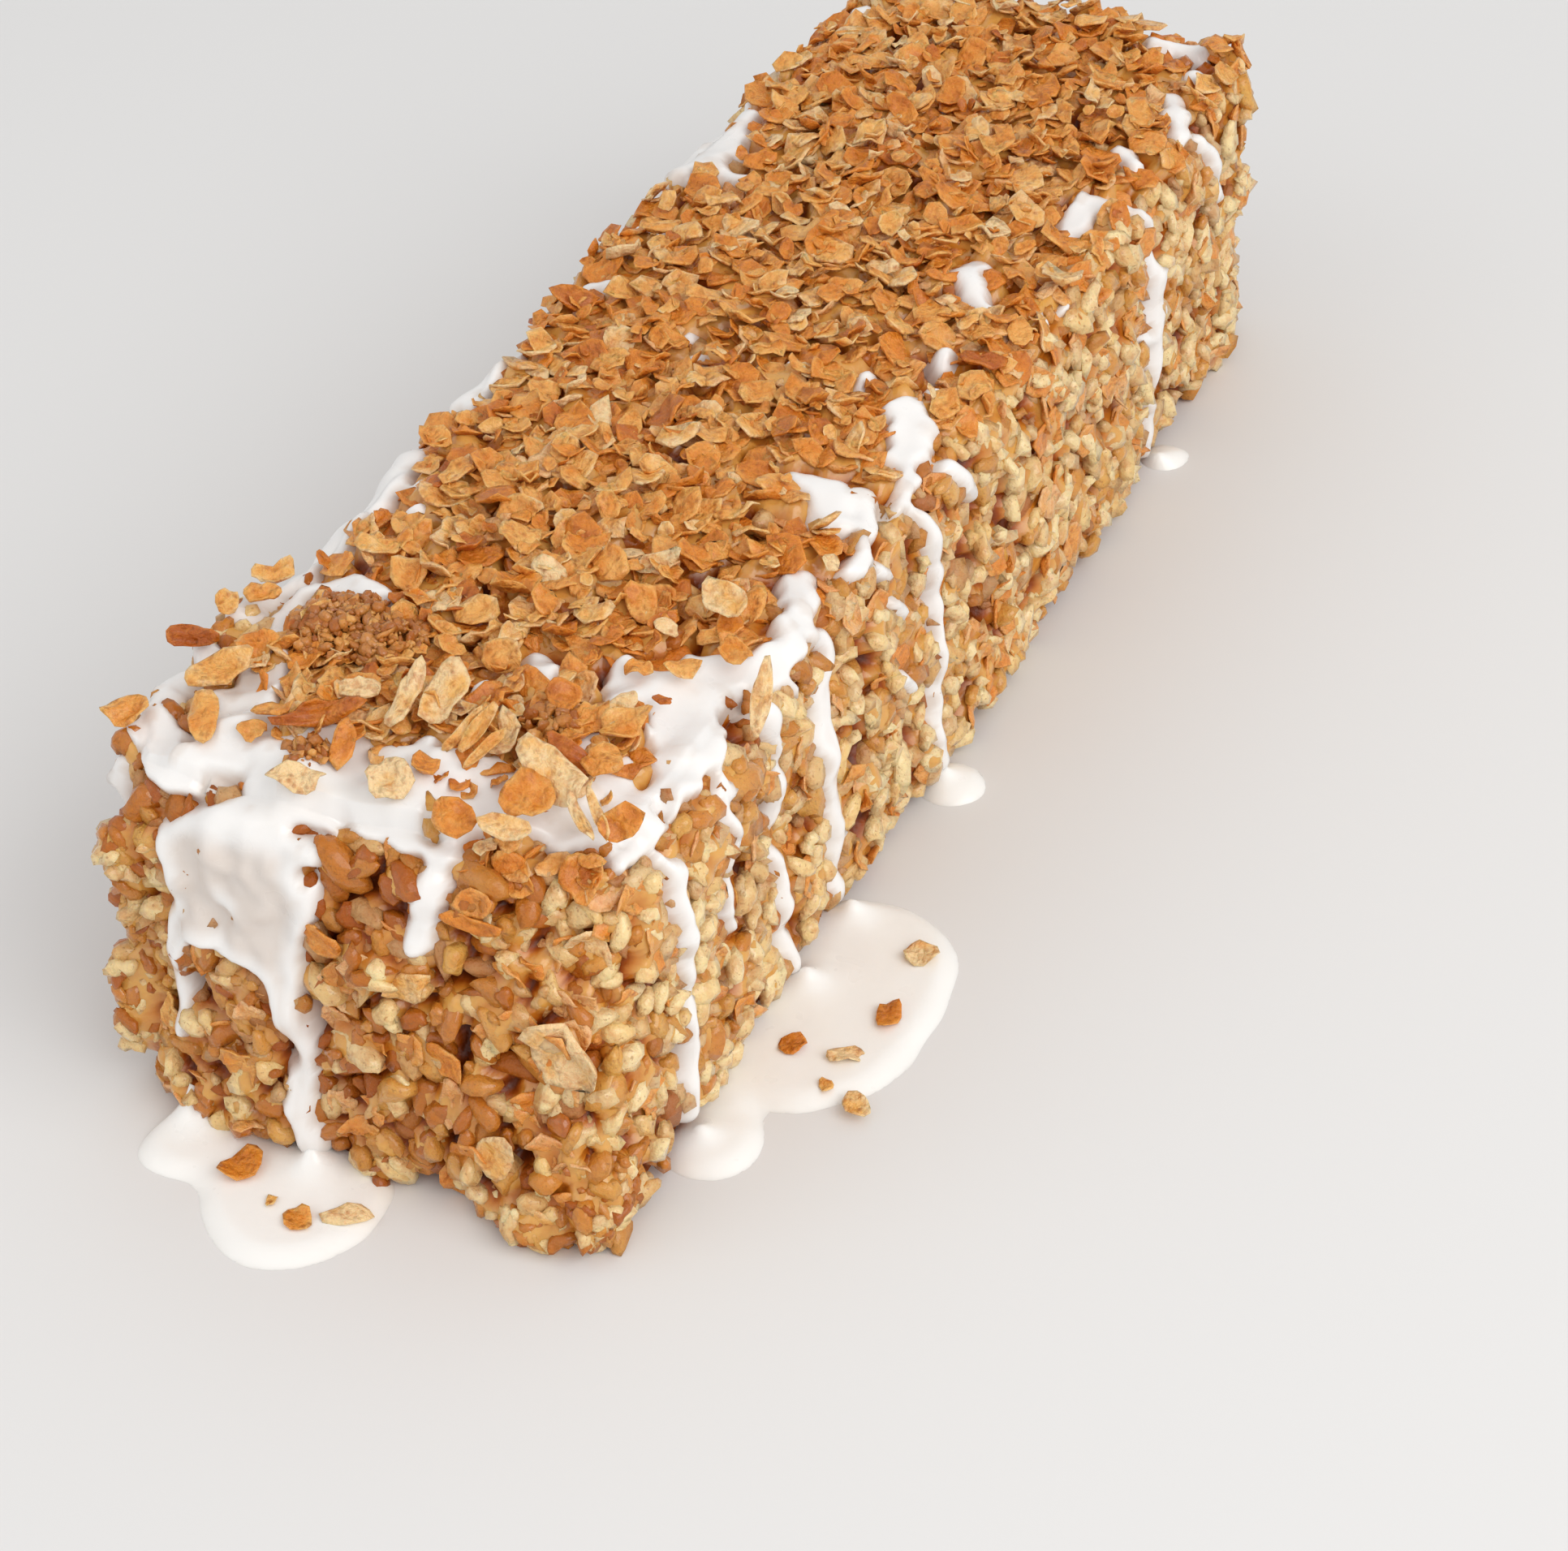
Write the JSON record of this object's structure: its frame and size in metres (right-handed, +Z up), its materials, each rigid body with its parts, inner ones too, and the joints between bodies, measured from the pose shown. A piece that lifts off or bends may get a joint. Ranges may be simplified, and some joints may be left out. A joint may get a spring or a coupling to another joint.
{
  "type": "crisped rice and cereal flake loaf",
  "caption": "Hand-pressed loaf bar of puffed rice and toasted cereal flakes, with white icing over its top, drips down its walls and thin pools at its foot.",
  "frame": {"origin": "middle of the loaf's flat base, on the surface it stands on", "axes": "+Y along the loaf away from its iced front end, +X out of the long wall with the thin drips and the large pool, +Z up"},
  "size_m": [0.1321, 0.359, 0.0796],
  "materials": {
    "cereal": null,
    "icing": null
  },
  "bodies": {
    "root": {"treat": "cereal", "icing_pool_front": "icing", "icing_pool_side": "icing", "icing_pool_far": "icing", "icing_pool_end": "icing"}
  },
  "joints": []
}
